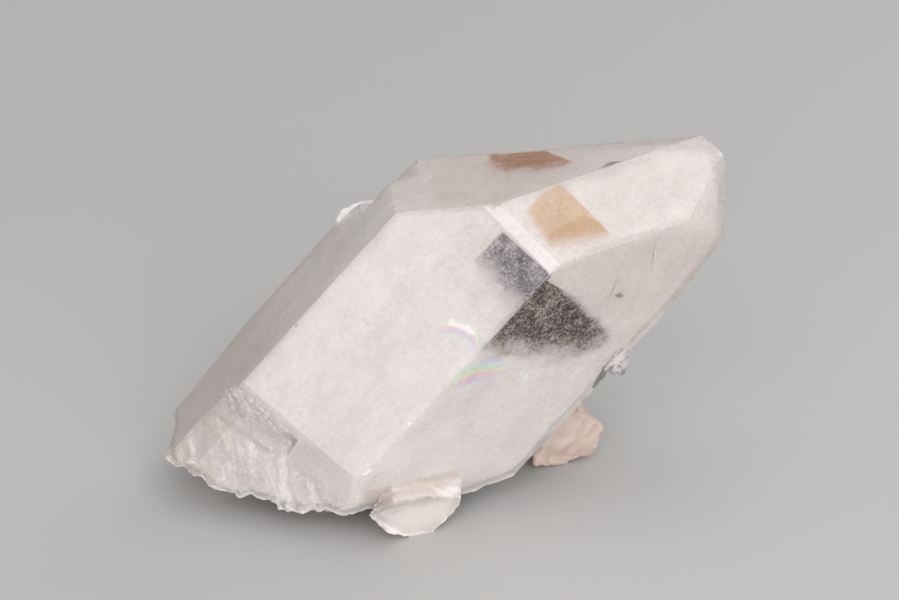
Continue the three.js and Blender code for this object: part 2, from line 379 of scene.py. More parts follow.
# Coloured glints: patch, how uneven its edge is, the range of the finest pattern, and strength
GLINTS = [
    ("glitter", 0.6, (0.66, 0.72), 0.9),
    ("spark", 0.4, (0.42, 0.52), 0.95),
]
GLINT_HUES = 7.0
GLINT_SATURATION = 0.38
CRESCENT_EDGE = 0.9
GLOW = 0.13

# Hollows in the chip, and the light line along the crisp edges: partly wear, partly a painted highlight
HOLLOW_FADE = 1.2
HOLLOW_RANGE = (0.53, 0.62)
HOLLOW_BLUE = (0.22, 0.27, 0.34, 1)
HOLLOW_STRENGTH = 0.8
EDGE_RANGE = (0.55, 1.0)
EDGE_LIGHT = (0.98, 0.96, 0.95, 1)
EDGE_STRENGTH = 0.3

# Warmer and darker low down, between two heights in millimetres above the floor: in part painted shade
# and the painted warm glow of the wood below
LOW_RANGE = (11, 2)
LOW_TINT = (0.86, 0.76, 0.68, 1)
LOW_STRENGTH = 0.45

# Tints on the front and back foot, in part painted light: painted shade and the wood seen through it on
# the back foot, the painted warm glow of the wood on the front foot. Each has its place in the row frame
# in millimetres, reach, strength and colour
FOOT_TINTS = [
    ((-5, -26, 0), 9, 0.9, (0.97, 0.885, 0.83, 1)),
    ((27, 8, 6), 13, 0.9, (0.46, 0.34, 0.28, 1)),
]
FOOT_UNEVEN = 0.8
FOOT_FADE = (0, 0.5)

# The ledge on the front foot, tinted warmer and darker, in part painted shade and the painted warm light
# of the wood below: its middle in the row frame, its reach, and the heights where it starts and ends.
# Below it the foot is thin and milky.
LEDGE_PLACE = (-5.5, -27, 10.5)
LEDGE_REACH = (12, 10)
LEDGE_START = (9.2, 9.8)
LEDGE_END = (12.6, 12)
LEDGE_TINT = (0.78, 0.69, 0.62, 1)
LEDGE_STRENGTH = 0.75
THIN_RANGE = (9.5, 6.5)
THIN_MILK = 0.35

# Clearness: of quartz without haze, what haze and the nearness of the tip change, and that of the
# windows and of the break
CLEAREST = 0.84
HAZE_SHARE = 0.5
HAZE_LOSS = -0.45
TIP_GAIN = 0.12
WINDOW_CLEARNESS = 0.4
ROUGH_LOSS = -0.6

# Roughness: of the clearest face, and what each pattern or mask adds
SMOOTHEST = 0.05
ROUGHNESS = {"grain": 0.06, "rough": 0.28, "etched": 0.15, "edge_wear_and_highlight": 0.1}

# Fine relief in the material
GROWTH_RELIEF = 0.06
PIT_RELIEF = 0.4
BUMP_STRENGTH = 0.5
BUMP_DISTANCE = 0.5 * MM

# Quartz's index of refraction, and how light spreads in its milk
QUARTZ_IOR = 1.544
MILK_WEIGHT = 0.35
MILK_RADIUS = (1.0, 0.94, 0.9)
MILK_SCALE = 5 * MM

# The core: two tones of cloud and light grains. Patterns as above.
CORE_CLOUDS = ((5, 5, 8), 5, 0.65, 0.5)
CORE_GRAIN = (1.2, 5, 0.7, 0)
CORE_DIM = (0.86, 0.79, 0.76, 1)
CORE_BRIGHT = (0.94, 0.885, 0.86, 1)
CORE_FLECK = (1.0, 0.98, 0.97, 1)
CORE_FLECK_RANGE = (0.55, 0.8)
CORE_ROUGHNESS = 0.6


# Directions and places in the crystal's own frame

def direction(azimuth, polar):
    """A unit vector, from its azimuth and its angle from z in degrees."""
    a, p = math.radians(azimuth), math.radians(polar)
    return Vector((math.sin(p) * math.cos(a), math.sin(p) * math.sin(a), math.cos(p)))


def crystal_turn():
    """The turn from the crystal's own frame to the row frame."""
    heading = Matrix.Rotation(math.radians(HEADING), 3, "Z")
    lean = Matrix.Rotation(math.radians(LEAN), 3, "Y")
    spin = Matrix.Rotation(math.radians(SPIN), 3, "Z")
    return heading @ lean @ spin


def face_axes(name):
    """A flat face's outward, across and up directions and its distance from the centre."""
    azimuth, polar, distance = FACES[name]
    outward = direction(azimuth, polar)
    across = Vector((-math.sin(math.radians(azimuth)), math.cos(math.radians(azimuth)), 0))
    return outward, across, outward.cross(across), distance


def crystal_place(row_place):
    """A place of the row frame in the crystal's own frame."""
    return TURN.transposed() @ (Vector(row_place) - CENTRE)


def crystal_places_of(points):
    """Points of the row frame, in millimetres, in the crystal's own frame."""
    return (points - np.array(CENTRE)) @ np.array(TURN)


# The solid's flat faces, and a fine mesh over them

def merged_solid(node):
    """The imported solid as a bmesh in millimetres, with the triangles of one flat face joined."""
    bm = bmesh.new()
    bm.from_mesh(node.data)
    bm.transform(Matrix.Scale(1 / MM, 4))
    bmesh.ops.remove_doubles(bm, verts=bm.verts, dist=WELD_DISTANCE)
    bmesh.ops.dissolve_degenerate(bm, edges=bm.edges, dist=SHORTEST_EDGE)
    bmesh.ops.dissolve_limit(
        bm, angle_limit=math.radians(FLAT_ANGLE), verts=bm.verts, edges=bm.edges,
    )
    bm.normal_update()
    bm.verts.index_update()
    bm.edges.index_update()
    bm.faces.index_update()
    return bm


def crystal_centre(bm):
    """The crystal's centre in the row frame, from where three of its flat faces lie."""
    normals, offsets = [], []
    for name in MEASURED_FACES:
        outward, _, _, distance = face_axes(name)
        normal = TURN @ outward
        facing = [face for face in bm.faces if face.normal.dot(normal) > SAME_FACE]
        largest = max(facing, key=lambda face: face.calc_area())
        normals.append(normal)
        offsets.append(largest.verts[0].co.dot(normal) - distance)
    return Vector(np.linalg.solve(np.array(normals), np.array(offsets)))


def is_smooth(face):
    """Whether a face is a smooth crystal face, and not part of a break or of an etched floor."""
    if face.normal.z < STRAIGHT_DOWN:
        return True
    local = TURN.transposed() @ face.normal
    ways = CRYSTAL_WAYS + RUBBED + TAPERS + LONG_SLOPE
    known = any(local.dot(direction(azimuth, polar)) > SAME_WAY for azimuth, polar in ways)
    in_chip = (face.calc_center_median() - CHIP).length < CHIP_REACH
    return (known and face.calc_area() > LEAST_SMOOTH_AREA) or in_chip


def is_etched(face):
    """Whether a face is part of the etched floor near the root of face A, or of the step above it."""
    place = crystal_place(face.calc_center_median())
    facing_out = (TURN.transposed() @ face.normal).x > ETCH_OUTWARD
    in_reach = place.z < ETCH_TOP and place.x > ETCH_FLOOR - ETCH_MARGIN
    return not is_smooth(face) and facing_out and in_reach


def split_edges(bm, points, cell):
    """Adds points along every edge, about a cell apart. Both faces of an edge share them."""
    along = {}
    for edge in bm.edges:
        start, end = edge.verts
        steps = max(1, round(edge.calc_length() / cell))
        inner = []
        for step in range(1, steps):
            points.append(start.co.lerp(end.co, step / steps))
            inner.append(len(points) - 1)
        along[edge.index] = (start.index, inner)
    return along


def outline_of(face, along):
    """Indices of the points round a face, in order."""
    ring = []
    for loop in face.loops:
        start, inner = along[loop.edge.index]
        ring.append(loop.vert.index)
        ring.extend(inner if loop.vert.index == start else reversed(inner))
    return ring


def grid_inside(outline, cell, rng):
    """A slightly uneven grid of points inside a flat outline, clear of its corners."""
    low, high = outline.min(axis=0), outline.max(axis=0)
    row = cell * math.sqrt(3) / 2
    xs, ys = np.meshgrid(np.arange(low[0], high[0], cell), np.arange(low[1], high[1], row))
    xs = xs + (np.arange(xs.shape[0]) % 2)[:, None] * cell / 2
    grid = np.stack([xs.ravel(), ys.ravel()], axis=1)
    grid = grid + rng.uniform(-GRID_UNEVEN, GRID_UNEVEN, grid.shape) * cell
    inside = np.zeros(len(grid), dtype=bool)
    clear = np.ones(len(grid), dtype=bool)
    for (x0, y0), (x1, y1) in zip(outline, np.roll(outline, -1, axis=0)):
        if y0 != y1:
            level = (grid[:, 1] >= min(y0, y1)) & (grid[:, 1] < max(y0, y1))
            crossing = x0 + (grid[:, 1] - y0) * (x1 - x0) / (y1 - y0)
            inside ^= level & (grid[:, 0] < crossing)
        clear &= (grid[:, 0] - x0) ** 2 + (grid[:, 1] - y0) ** 2 > (GRID_CLEARANCE * cell) ** 2
    return grid[inside & clear]


def cut_face(face, along, points, cell, rng):
    """Adds points inside a face, and gives the triangles between them and its outline."""
    ring = outline_of(face, along)
    base = face.verts[0].co
    across = (face.verts[1].co - base).normalized()
    up = face.normal.cross(across)
    offsets = [points[index] - base for index in ring]
    outline = np.array([(offset.dot(across), offset.dot(up)) for offset in offsets])
    grid = grid_inside(outline, cell, rng)
    indices = ring + list(range(len(points), len(points) + len(grid)))
    points.extend(base + across * x + up * y for x, y in grid)
    flat = [Vector(place) for place in np.concatenate([outline, grid])]
    border = [(i, (i + 1) % len(ring)) for i in range(len(ring))]
    found = delaunay_2d_cdt(flat, border, [], INSIDE_OUTLINE, JOIN_DISTANCE)
    _, _, corner_sets, sources = found[:4]
    named = [[indices[sources[corner][0]] for corner in corners] for corners in corner_sets]
    return [corners for corners in named if len(set(corners)) == 3]


def fine_surface(bm, cell):
    """Points, triangles and, for each triangle, the flat face it was cut from."""
    rng = np.random.default_rng(SEED)
    points = [vertex.co.copy() for vertex in bm.verts]
    along = split_edges(bm, points, cell)
    triangles, owners = [], []
    for face in bm.faces:
        found = cut_face(face, along, points, cell, rng)
        triangles.extend(found)
        owners.extend([face.index] * len(found))
    return np.array([tuple(point) for point in points]), np.array(triangles), np.array(owners)


# Sums and means over a mesh

def corner_sums(triangles, values, count):
    """For each point, the sum of the values of the triangles round it."""
    total = np.zeros((count,) + values.shape[1:])
    for corner in range(3):
        np.add.at(total, triangles[:, corner], values)
    return total


def mean_around(triangles, values):
    """For each point, the mean value of the triangles round it."""
    middle = values[triangles].mean(axis=1)
    total = corner_sums(triangles, middle, len(values))
    times = corner_sums(triangles, np.ones_like(middle), len(values))
    return total / np.maximum(times, 1)


def triangle_normals(points, triangles):
    """Normals as long as twice each triangle's area."""
    a, b, c = (points[triangles[:, corner]] for corner in range(3))
    return np.cross(b - a, c - a)


def point_normals(points, triangles):
    normals = corner_sums(triangles, triangle_normals(points, triangles), len(points))
    return normals / (np.linalg.norm(normals, axis=1, keepdims=True) + TINY)


def touched(triangles, chosen, count):
    """Which points belong to at least one of the chosen triangles."""
    touches = np.zeros(count, dtype=bool)
    touches[triangles[chosen].ravel()] = True
    return touches


def between_faces(triangles, owners, count):
    """Which points lie where two flat faces meet."""
    first = np.full(count, owners.max() + 1)
    last = np.full(count, -1)
    for corner in range(3):
        np.minimum.at(first, triangles[:, corner], owners)
        np.maximum.at(last, triangles[:, corner], owners)
    return first != last


def relaxed(points, triangles, movable, rounds):
    """Movable points eased towards their neighbours, which rounds off the solid's coarse facets."""
    for _ in range(rounds):
        points = np.where(movable[:, None], mean_around(triangles, points), points)
    return points


def spread_mask(mask, triangles, rounds):
    """A 0 to 1 mask softened over its neighbours."""
    value = mask.astype(float)
    for _ in range(rounds):
        value = mean_around(triangles, value)
    return value


# Relief: growth marks on the smooth faces, fracture on the rough ones, nicks along the edges

def smoothstep(low, high, value):
    """0 at low, 1 at high and smooth between. High may be the smaller one."""
    t = np.clip((value - low) / (high - low), 0, 1)
    return t * t * (3 - 2 * t)


def noise_at(places, size, seed):
    """Noise from about -1 to 1 at each place. The size of its lumps may differ along x, y and z."""
    scaled = np.asarray(places) / np.asarray(size, dtype=float) + seed * NOISE_STEP
    return np.array([noise.noise(Vector(place)) for place in scaled]) * NOISE_GAIN


def stepped(values, steps, flat):
    """Values gathered into terraces, so many to a unit, each flat up to a share of its width."""
    scaled = values * steps
    whole = np.floor(scaled)
    return (whole + smoothstep(flat, 1.0, scaled - whole)) / steps


def fracture_height(row_places):
    """Hackly broken quartz: uneven steps and ridges, coarse and fine."""
    terraces = stepped(noise_at(row_places, TERRACE_SIZE, 1), TERRACE_STEPS, TERRACE_FLAT)
    ridges = 1 - 2 * np.abs(noise_at(row_places, RIDGE_SIZE, 2))
    grit = noise_at(row_places, GRIT_SIZE, 3)
    whole = TERRACE_SHARE * terraces + RIDGE_SHARE * (ridges - 0.5) + GRIT_SHARE * grit
    return ROUGH_HEIGHT * whole


def etched_height(places):
    """An etched floor: streaks, pits and a low swell."""
    along = np.outer(places @ np.array(STREAK), STREAK)
    lines = noise_at(places - LINE_DRAWN * along, LINE_SIZE, 4)
    pits = -smoothstep(*PIT_RANGE, noise_at(places - PIT_DRAWN * along, PIT_SIZE, 5))
    swell = noise_at(places, SWELL_SIZE, 6)
    return ETCHED_HEIGHT * (LINE_SHARE * lines + PIT_SHARE * pits + SWELL_SHARE * swell)


def growth_height(places):
    """A smooth face: faint lines across the crystal and low growth hillocks with edges."""
    lines = noise_at(places, STRIATION_SIZE, 7)
    hillocks = stepped(noise_at(places, HILLOCK_SIZE, 8), HILLOCK_STEPS, HILLOCK_FLAT)
    return STRIATION_HEIGHT * lines + HILLOCK_HEIGHT * hillocks


def eased_step(points, movable):
    """The step from face A down to the etched floor, made into a gentle slope on its left."""
    places = crystal_places_of(points)
    rise = (ETCH_RIGHT[1] - ETCH_LEFT[1]) / (ETCH_RIGHT[0] - ETCH_LEFT[0])
    below = ETCH_LEFT[1] + rise * (places[:, 1] - ETCH_LEFT[0]) - places[:, 2]
    face = FACES["A"][2]
    wanted = face - (face - ETCH_FLOOR) * smoothstep(0, ETCH_EASE, below)
    share = movable * smoothstep(*ETCH_BORDER, places[:, 1])
    share *= smoothstep(ETCH_EASE + ETCH_FADE, ETCH_EASE, below)
    shift = share * np.maximum(wanted - places[:, 0], 0)
    return points + np.outer(shift, np.array(TURN)[:, 0])


def relief_height(points, broken, etched, smooth, on_edge):
    """How far each point moves outwards, from which kinds of face it touches."""
    places = crystal_places_of(points)
    rough = broken | etched
    height = np.where(broken, fracture_height(points), etched_height(places))
    height += broken * etched * RIM_HEIGHT * noise_at(points, RIM_SIZE, 12)
    height *= np.where(smooth, MEETING_SHARE, 1.0)
    height *= 1 + RIM_GAIN * smoothstep(RIM_TOP, 1, points[:, 2])
    height = np.where(rough, height, growth_height(places) * ~on_edge)
    nick = smoothstep(*NICK_RANGE, noise_at(places, NICK_LENGTH, 9))
    height -= (on_edge & ~rough) * nick * NICK_DEPTH
    return height


def with_relief(points, triangles, owners, smooth, etched):
    """The points moved by the relief, with masks of the broken, etched and edge places."""
    count = len(points)
    near_smooth = touched(triangles, smooth[owners], count)
    near_etched = touched(triangles, etched[owners], count)
    near_broken = touched(triangles, ~(smooth | etched)[owners], count)
    on_edge = between_faces(triangles, owners, count)
    standing = points[:, 2] < LOWEST
    in_break = near_broken & ~near_smooth & ~near_etched & ~standing
    in_floor = near_etched & ~near_smooth & ~near_broken & ~standing
    points = relaxed(points, triangles, in_break, ROUGH_ROUNDS)
    points = relaxed(points, triangles, in_floor, ETCHED_ROUNDS)
    points = eased_step(points, in_floor)

    height = relief_height(points, near_broken, near_etched, near_smooth, on_edge)
    height[standing] = 0
    moved = points + point_normals(points, triangles) * height[:, None]
    moved[:, 2] = np.where(standing, points[:, 2], np.maximum(moved[:, 2], LOWEST))
    return moved, near_broken, near_etched & ~near_broken, on_edge & ~near_broken & ~near_etched


def core_shape(points, triangles):
    """The core's points: the surface drawn inwards by an uneven depth, then eased."""
    places = crystal_places_of(points)
    depth = CORE_DEPTH + CORE_UNEVEN * noise_at(places, CORE_LUMPS, 11)
    depth += CORE_TIP * smoothstep(*CORE_TIP_RANGE, places[:, 2])
    drawn = points - point_normals(points, triangles) * depth[:, None]
    return relaxed(drawn, triangles, np.ones(len(points), dtype=bool), CORE_ROUNDS)


# Pieces

def linked_piece(name, points, triangles):
    """A smooth-shaded object in the scene, from points in millimetres."""
    mesh = bpy.data.meshes.new(name)
    mesh.from_pydata((points * MM).tolist(), [], triangles.tolist())
    mesh.update()
    mesh.polygons.foreach_set("use_smooth", np.ones(len(mesh.polygons), dtype=bool))
    piece = bpy.data.objects.new(name, mesh)
    bpy.context.scene.collection.objects.link(piece)
    return piece


def mark_sharp_edges(mesh, points, triangles, owners, smooth):
    """Marks edges between two smooth flat faces, and steep ones, so that they shade crisp."""
    normals = triangle_normals(points, triangles)
    normals /= np.linalg.norm(normals, axis=1, keepdims=True) + TINY
    sides = {}
    for index, corners in enumerate(triangles):
        for start, end in zip(corners, np.roll(corners, -1)):
            sides.setdefault((min(start, end), max(start, end)), []).append(index)
    least = math.cos(math.radians(SHARP_ANGLE))
    sharp = []
    for edge in mesh.edges:
        one, other = sides[tuple(sorted(edge.vertices))]
        parted = owners[one] != owners[other] and smooth[owners[one]] and smooth[owners[other]]
        sharp.append(parted or normals[one].dot(normals[other]) < least)
    marks = mesh.attributes.new("sharp_edge", "BOOLEAN", "EDGE")
    marks.data.foreach_set("value", np.array(sharp, dtype=bool))


def store(mesh, name, values):
    layer = mesh.attributes.new(name, "FLOAT", "POINT")
    layer.data.foreach_set("value", np.asarray(values, dtype=np.float32))


def crystal_piece(bm):
    smooth = np.array([is_smooth(face) for face in bm.faces])
    etched = np.array([is_etched(face) for face in bm.faces])
    points, triangles, owners = fine_surface(bm, CELL)
    moved, in_break, in_floor, on_crisp_edge = with_relief(points, triangles, owners, smooth, etched)
    piece = linked_piece("quartz_crystal", moved, triangles)
    mark_sharp_edges(piece.data, moved, triangles, owners, smooth)
    store(piece.data, "rough", spread_mask(in_break, triangles, 1))
    store(piece.data, "etched", spread_mask(in_floor, triangles, 2))
    # Crisp edges, rougher with wear and lighter in colour as a painted highlight
    store(piece.data, "edge_wear_and_highlight", on_crisp_edge)
    return piece


def core_piece(bm):
    points, triangles, _ = fine_surface(bm, CORE_CELL)
    return linked_piece("milky_core", core_shape(points, triangles), triangles)


# Materials

class Shader:
    """A material's node tree, with short calls for the kinds of node used here."""

    def __init__(self, name):
        self.material = bpy.data.materials.new(name)
        self.material.use_nodes = True
        self.tree = self.material.node_tree
        self.principled = self.tree.nodes["Principled BSDF"]

    def node(self, kind, inputs, **settings):
        made = self.tree.nodes.new(kind)
        for name, value in settings.items():
            setattr(made, name, value)
        for key, value in inputs.items():
            self.feed(made.inputs[key], value)
        return made

    def feed(self, socket, value):
        if isinstance(value, bpy.types.NodeSocket):
            self.tree.links.new(value, socket)
        else:
            socket.default_value = value

    def math(self, operation, a, b=0.0, c=0.0, clamp=False):
        made = self.node("ShaderNodeMath", {0: a, 1: b, 2: c}, operation=operation, use_clamp=clamp)
        return made.outputs[0]

    def times(self, a, b):
        return self.math("MULTIPLY", a, b)

    def line(self, value, slope, start, clamp=False):
        """A value times a slope, plus a start."""
        return self.math("MULTIPLY_ADD", value, slope, start, clamp)

    def most(self, first, *others):
        """The largest of some values."""
        for other in others:
            first = self.math("MAXIMUM", first, other)
        return first

    def vector_math(self, operation, inputs):
        return self.node("ShaderNodeVectorMath", inputs, operation=operation)

    def dot(self, vector, fixed):
        return self.vector_math("DOT_PRODUCT", {0: vector, 1: tuple(fixed)}).outputs["Value"]

    def distance(self, vector, fixed):
        return self.vector_math("DISTANCE", {0: vector, 1: tuple(fixed)}).outputs["Value"]

    def ramp(self, value, low, high):
        """0 at low, 1 at high and smooth between. High may be the smaller one."""
        inputs = {"Value": value, "From Min": low, "From Max": high}
        made = self.node("ShaderNodeMapRange", inputs, interpolation_type="SMOOTHSTEP")
        return made.outputs["Result"]

    def blend_value(self, amount, a, b):
        """A number changed towards b by an amount."""
        made = self.node("ShaderNodeMix", {"Factor": amount, 2: a, 3: b}, data_type="FLOAT")
        return made.outputs[0]

    def blend(self, amount, a, b):
        """Colour a changed towards b by an amount."""
        made = self.node("ShaderNodeMix", {"Factor": amount, 6: a, 7: b}, data_type="RGBA")
        return made.outputs[2]

    def hue_colour(self, hue, saturation):
        made = self.node("ShaderNodeCombineColor", {0: hue, 1: saturation, 2: 1.0}, mode="HSV")
        return made.outputs[0]

    def noise(self, vector, size, detail, roughness, distortion=0.0):
        """Noise from 0 to 1 whose lumps are about this many millimetres."""
        inputs = {"Scale": 1.0, "Detail": detail, "Roughness": roughness, "Distortion": distortion}
        scale = (1 / size,) * 3 if isinstance(size, (int, float)) else tuple(1 / s for s in size)
        inputs["Vector"] = self.vector_math("MULTIPLY", {0: vector, 1: scale}).outputs[0]
        return self.node("ShaderNodeTexNoise", inputs).outputs["Fac"]

    def squeezed(self, vector, along, amount):
        """Places drawn together along one direction, so that a pattern there is drawn out."""
        less = self.times(self.dot(vector, along), -amount)
        moved = self.vector_math("SCALE", {0: tuple(along), 3: less}).outputs[0]
        return self.vector_math("ADD", {0: vector, 1: moved}).outputs[0]

    def attribute(self, name):
        return self.node("ShaderNodeAttribute", {}, attribute_name=name).outputs["Fac"]

    def crystal_places(self):
        """Places in the crystal's own frame, in millimetres."""
        inverse = TURN.transposed()
        inputs = {
            "Vector": self.node("ShaderNodeTexCoord", {}).outputs["Object"],
            "Location": tuple(-(inverse @ CENTRE)),
            "Rotation": tuple(inverse.to_euler()),
            "Scale": (1 / MM,) * 3,
        }
        return self.node("ShaderNodeMapping", inputs, vector_type="POINT").outputs[0]


class QuartzShader(Shader):
    """Milky quartz: colours laid one over another, and clearness, gloss and relief to go with them."""

    def __init__(self):
        super().__init__("milky_quartz")
        self.places = self.crystal_places()
        self.fields = {name: self.patch_field(*patch) for name, patch in PATCHES.items()}
        self.pattern = {name: self.attribute(name) for name in ("rough", "etched", "edge_wear_and_highlight")}
        for name, settings in PATTERNS.items():
            self.pattern[name] = self.noise(self.places, *settings)
        for name, (along, amount, *settings) in DRAWN_PATTERNS.items():
            self.pattern[name] = self.noise(self.squeezed(self.places, along, amount), *settings)
        self.near_tip = self.ramp(self.dot(self.places, (0, 0, 1)), *TIP_RANGE)
        self.row_height = self.math("ADD", self.dot(self.places, TURN[2]), CENTRE.z)
        self.colour = MILK_DIM
        self.windows = []
        self.glints = []
        self.foot_areas = []

    def patch_field(self, face, corners):
        """Above 1 well inside a patch, 0 on its outline and below 0 outside it."""
        outward, across, up, distance = face_axes(face)
        start = -PATCH_DEPTH_SLOPE * (distance - PATCH_DEPTH)
        field = self.line(self.dot(self.places, outward), PATCH_DEPTH_SLOPE, start)
        for (x0, y0, softness), (x1, y1, _) in zip(corners, corners[1:] + corners[:1]):
            length = math.hypot(x1 - x0, y1 - y0)
            inward = (across * (y0 - y1) + up * (x1 - x0)) / length
            offset = (x0 * (y0 - y1) + y0 * (x1 - x0)) / length
            side = self.line(self.dot(self.places, inward), 1 / softness, -offset / softness)
            field = self.math("MINIMUM", field, side)
        return field

    def patch(self, name, waver):
        """A patch's 0 to 1 mask, its outline made uneven in step with how soft it is."""
        grain = self.times(self.pattern["grain"], PATCH_GRAIN)
        lumps = self.line(self.pattern["clumps"], PATCH_LUMPS, grain)
        uneven = self.math("SUBTRACT", lumps, PATCH_MIDDLE)
        return self.ramp(self.line(uneven, waver * PATCH_WAVER, self.fields[name]), *PATCH_FADE)

    def shown(self, name, limits):
        """A pattern's 0 to 1 mask, between two of its values."""
        return self.ramp(self.pattern[name], *limits)

    def laid(self, colour, amount, tint, strength=1.0):
        return self.blend(self.times(amount, strength), colour, tint)

    def lay(self, amount, tint, strength=1.0):
        """Lays a tint over the colour so far."""
        self.colour = self.laid(self.colour, amount, tint, strength)

    def lay_milk(self):
        """Clouds, wisps along the crystal, darker flecks, scratches and white specks."""
        self.colour = self.blend(self.shown("clouds", CLOUD_RANGE), MILK_DIM, MILK_BRIGHT)
        for name, low, high, tint, strength in BODY_LAYERS:
            self.lay(self.shown(name, (low, high)), tint, strength)
        self.lay(self.near_tip, TIP_GREY, TIP_STRENGTH)

    def lay_etched_floor(self):
        patchy = self.times(self.shown("streaks", ETCHED_STREAKS), self.shown("clumps", ETCHED_CLUMPS))
        floor = self.blend(patchy, ETCHED_GREY, ETCHED_LIGHT)
        floor = self.laid(floor, self.shown("grain", ETCHED_FLECKS), FROST_WHITE, ETCHED_FLECK_STRENGTH)
        self.colour = self.blend(self.pattern["etched"], self.colour, floor)

    def lay_frost(self):
        """Frosting where face A passes into the etched floor."""
        lit = self.most(self.shown("streaks", FROST_RANGE), self.shown("grain", FROST_RANGE))
        self.lay(self.times(lit, self.patch("frost", FROST_WAVER)), FROST_WHITE, FROST_STRENGTH)

    def lay_windows(self):
        # The dark in the windows is painted, in place of what would be seen through the clear quartz
        milk = self.line(self.pattern["dust"], MILK_DUST, self.times(self.pattern["clumps"], MILK_CLUMPS))
        specks = self.times(self.shown("fine", SPECK_RANGE), SPECK_STRENGTH)
        window_darks = {}
        for name, (limits, dark, milky, speck) in WINDOW_DARKS.items():
            window_darks[name] = self.laid(self.blend(self.ramp(milk, *limits), dark, milky), specks, speck)
        for name, waver, depth, strength in WINDOWS:
            window = self.patch(name, waver)
            self.lay(window, window_darks[depth], strength)
            self.windows.append(window)

    def lay_stains_and_highlights(self):
        mottle = self.line(self.pattern["clumps"], MOTTLE_GAIN, MOTTLE_LEAST, clamp=True)
        # The white crescent, crescent_spot, flake and slivers laid here are painted highlights
        for name, strength, tint, waver in STAINS_AND_HIGHLIGHTS:
            self.lay(self.times(self.patch(name, waver), mottle), tint, strength)

    def lay_blooms(self):
        """Thin-film colours of healed fractures, in arcs broken up by grains and streaks."""
        waver = self.line(self.pattern["grain"], BLOOM_WAVER["grain"], BLOOM_SHIFT)
        waver = self.line(self.pattern["clumps"], BLOOM_WAVER["clumps"], waver)
        mixed = self.line(self.pattern["grain"], 0.5, self.times(self.pattern["streaks"], 0.5))
        broken = self.ramp(mixed, *BLOOM_GAPS)
        for name, (face, x, y), reach, turns, strength in BLOOMS:
            outward, across, up, distance = face_axes(face)
            middle = outward * distance + across * x + up * y
            far = self.distance(self.places, middle)
            radius = self.math("ADD", waver, self.math("DIVIDE", far, reach))
            hue = self.math("FRACT", self.line(radius, turns, BLOOM_FIRST_HUE))
            band = self.times(self.ramp(radius, *BLOOM_INNER), self.ramp(radius, *BLOOM_OUTER))
            amount = self.times(self.times(self.patch(name, BLOOM_EDGE), band), broken)
            self.lay(amount, self.hue_colour(hue, BLOOM_SATURATION), strength)

    def lay_glints(self):
        hue = self.math("FRACT", self.times(self.pattern["grain"], GLINT_HUES))
        colours = self.hue_colour(hue, GLINT_SATURATION)
        for name, waver, limits, strength in GLINTS:
            glint = self.times(self.shown("fine", limits), self.patch(name, waver))
            self.lay(glint, colours, strength)
            self.glints.append(glint)

    def lay_chip(self):
        """Dark and bluish hollows in the glassy chip."""
        far = self.distance(self.places, crystal_place(CHIP))
        near = self.ramp(far, CHIP_REACH, CHIP_REACH - HOLLOW_FADE)
        self.lay(self.times(self.shown("hollows", HOLLOW_RANGE), near), HOLLOW_BLUE, HOLLOW_STRENGTH)

    def lay_low_tints(self):
        """Warm tints low down, on the feet and on the front foot's ledge: in part painted shade and the
        painted warm glow of the wood below.
        """
        self.lay(self.ramp(self.row_height, *LOW_RANGE), LOW_TINT, LOW_STRENGTH)
        for place, reach, strength, tint in FOOT_TINTS:
            near = self.line(self.distance(self.places, crystal_place(place)), -1 / reach, 1.0)
            tinted = self.ramp(self.line(self.pattern["clumps"], FOOT_UNEVEN, near), *FOOT_FADE)
            self.lay(tinted, tint, strength)
            self.foot_areas.append(tinted)
        ledge = self.ramp(self.distance(self.places, crystal_place(LEDGE_PLACE)), *LEDGE_REACH)
        for limits in (LEDGE_START, LEDGE_END):
            ledge = self.times(ledge, self.ramp(self.row_height, *limits))
        self.lay(ledge, LEDGE_TINT, LEDGE_STRENGTH)

    def clearness(self):
        haze = self.line(self.pattern["clouds"], HAZE_SHARE, self.times(self.pattern["grain"], HAZE_SHARE))
        clear = self.line(haze, HAZE_LOSS, CLEAREST)
        clear = self.line(self.near_tip, TIP_GAIN, clear)
        clear = self.blend_value(self.most(*self.windows), clear, WINDOW_CLEARNESS)
        clear = self.times(clear, self.line(self.pattern["rough"], ROUGH_LOSS, 1.0))
        thin = self.times(self.foot_areas[0], self.ramp(self.row_height, *THIN_RANGE))
        foot_areas = self.times(self.most(*self.foot_areas), self.pattern["rough"])
        foot_areas = self.most(foot_areas, self.times(thin, THIN_MILK))
        return self.math("MULTIPLY", clear, self.math("SUBTRACT", 1.0, foot_areas), clamp=True)

    def roughness(self):
        value = SMOOTHEST
        for name, more in ROUGHNESS.items():
            value = self.line(self.pattern[name], more, value)
        return value

    def relief(self):
        uneven = self.most(self.pattern["rough"], self.pattern["etched"])
        pits = self.times(self.math("ADD", self.pattern["fine"], self.pattern["streaks"]), uneven)
        height = self.line(self.pattern["growth"], GROWTH_RELIEF, self.times(pits, PIT_RELIEF))
        inputs = {"Strength": BUMP_STRENGTH, "Distance": BUMP_DISTANCE, "Height": height}
        return self.node("ShaderNodeBump", inputs).outputs[0]

    def glow(self):
        """Painted glints that glow: emission on the crescent and the coloured glints, where a healed
        fracture turns light back.
        """
        return self.times(self.most(self.patch("crescent", CRESCENT_EDGE), *self.glints), GLOW)


